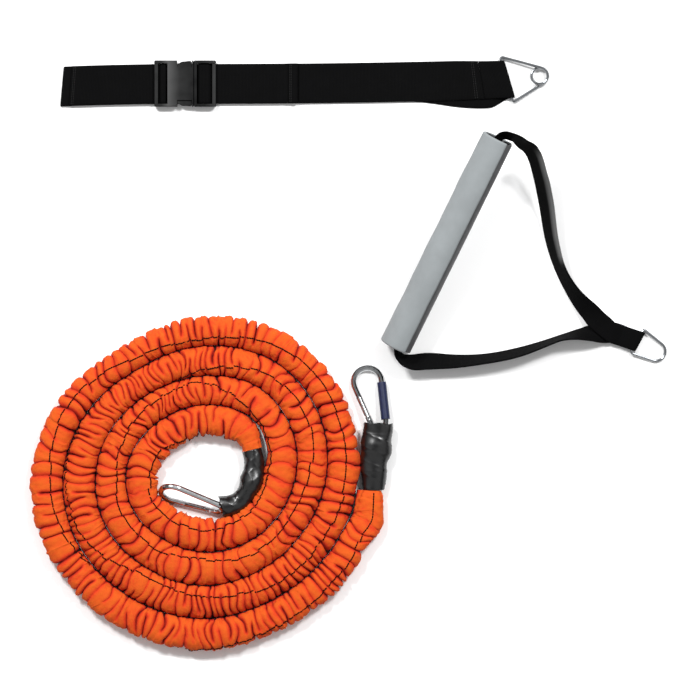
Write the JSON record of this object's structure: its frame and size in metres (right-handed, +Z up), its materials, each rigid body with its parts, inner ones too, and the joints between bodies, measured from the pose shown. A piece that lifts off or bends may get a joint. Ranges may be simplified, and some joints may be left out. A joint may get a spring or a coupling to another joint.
{
  "type": "resistance sprint trainer",
  "caption": "Resistance sprint trainer with a waist belt, a foam grip handle and an elastic cord in a ruched orange sleeve with a snap hook at each end.",
  "frame": {"origin": "on the floor below the middle of the box around the belt, the handle and the cord's hard ends", "axes": "+Z up from the floor, +X towards the rings at the right, +Y from the cord towards the belt"},
  "size_m": [0.7663, 0.7149, 0.0908],
  "materials": {
    "black_webbing": "matt woven webbing with fine ribs",
    "buckle_plastic": "satin moulded",
    "chrome": "bright plated wire",
    "grey_foam": "matt closed-cell foam",
    "grey_core": "matt tube",
    "orange_fabric": "ruched plain weave with a dark stitched seam",
    "latex": "smooth",
    "shrink_black": "wrinkled shrunk tubing, semi-gloss",
    "blue_vinyl": "plain sleeve, semi-gloss",
    "spring_steel": "plain wire"
  },
  "bodies": {
    "cord": {"cord_sleeve": "orange_fabric", "elastic_cord": "latex", "outer_end_cap": "shrink_black", "inner_end_cap": "shrink_black", "outer_end_crimp": "spring_steel", "inner_end_crimp": "spring_steel", "outer_hook": "chrome", "inner_hook": "chrome", "hook_spine_sleeve": "blue_vinyl"},
    "outer_gate": {"outer_gate": "chrome", "outer_gate_rivet": "chrome", "outer_gate_spring": "spring_steel"},
    "inner_gate": {"inner_gate": "chrome", "inner_gate_rivet": "chrome", "inner_gate_spring": "spring_steel"},
    "belt": {"belt_webbing": "black_webbing", "belt_front_webbing": "black_webbing", "buckle_socket": "buckle_plastic"},
    "plug": {"buckle_plug": "buckle_plastic", "belt_tail_webbing": "black_webbing"},
    "upper_arm": {"buckle_arm_upper": "buckle_plastic"},
    "lower_arm": {"buckle_arm_lower": "buckle_plastic"},
    "belt_ring": {"belt_ring": "chrome"},
    "handle": {"handle_strap": "black_webbing"},
    "grip": {"foam_grip": "grey_foam", "grip_core": "grey_core"},
    "handle_ring": {"handle_ring": "chrome"}
  },
  "joints": [
    {"name": "outer_gate_hinge", "type": "hinge", "parent": "cord", "child": "outer_gate", "pos_m": [0.00664, -0.15829, 0.01195], "axis": [0.0363, -0.1344, -0.9903], "range_deg": [0, 25], "stiffness_Nm_per_rad": 0.05, "springref_deg": -8.59, "deforming": ["outer_gate_spring"]},
    {"name": "inner_gate_hinge", "type": "hinge", "parent": "cord", "child": "inner_gate", "pos_m": [-0.18722, -0.26755, 0.00522], "axis": [0.2121, 0.8134, -0.5417], "range_deg": [0, 25], "stiffness_Nm_per_rad": 0.05, "springref_deg": -8.59, "deforming": ["inner_gate_spring"]},
    {"name": "belt_lift", "type": "slide", "parent": "cord", "child": "belt", "axis": [0, 0, 1], "range_m": [0, 0.15]},
    {"name": "plug_release", "type": "slide", "parent": "belt", "child": "plug", "axis": [1, 0, 0], "range_m": [0, 0.028], "deforming": ["belt_front_webbing", "buckle_arm_upper", "buckle_arm_lower"]},
    {"name": "upper_arm_press", "type": "hinge", "parent": "plug", "child": "upper_arm", "pos_m": [-0.2027, 0.2594, 0.00735], "axis": [0, 0, 1], "range_deg": [0, 9], "stiffness_Nm_per_rad": 1.2},
    {"name": "lower_arm_press", "type": "hinge", "parent": "plug", "child": "lower_arm", "pos_m": [-0.2027, 0.2284, 0.00735], "axis": [0, 0, -1], "range_deg": [0, 9], "stiffness_Nm_per_rad": 1.2},
    {"name": "belt_ring_hinge", "type": "hinge", "parent": "belt", "child": "belt_ring", "pos_m": [0.1726, 0.2494, 0.00415], "axis": [0.2785, -0.9604, 0], "range_deg": [0, 90]},
    {"name": "handle_lift", "type": "slide", "parent": "cord", "child": "handle", "axis": [0, 0, 1], "range_m": [0, 0.15]},
    {"name": "grip_turn", "type": "hinge", "parent": "handle", "child": "grip", "pos_m": [0.10104, 0.05097, 0.0454], "axis": [0.4333, 0.8844, 0.1736], "continuous": true},
    {"name": "handle_ring_hinge", "type": "hinge", "parent": "handle", "child": "handle_ring", "pos_m": [0.32943, -0.06525, 0.00435], "axis": [-0.4772, -0.8788, 0], "range_deg": [0, 120]}
  ]
}
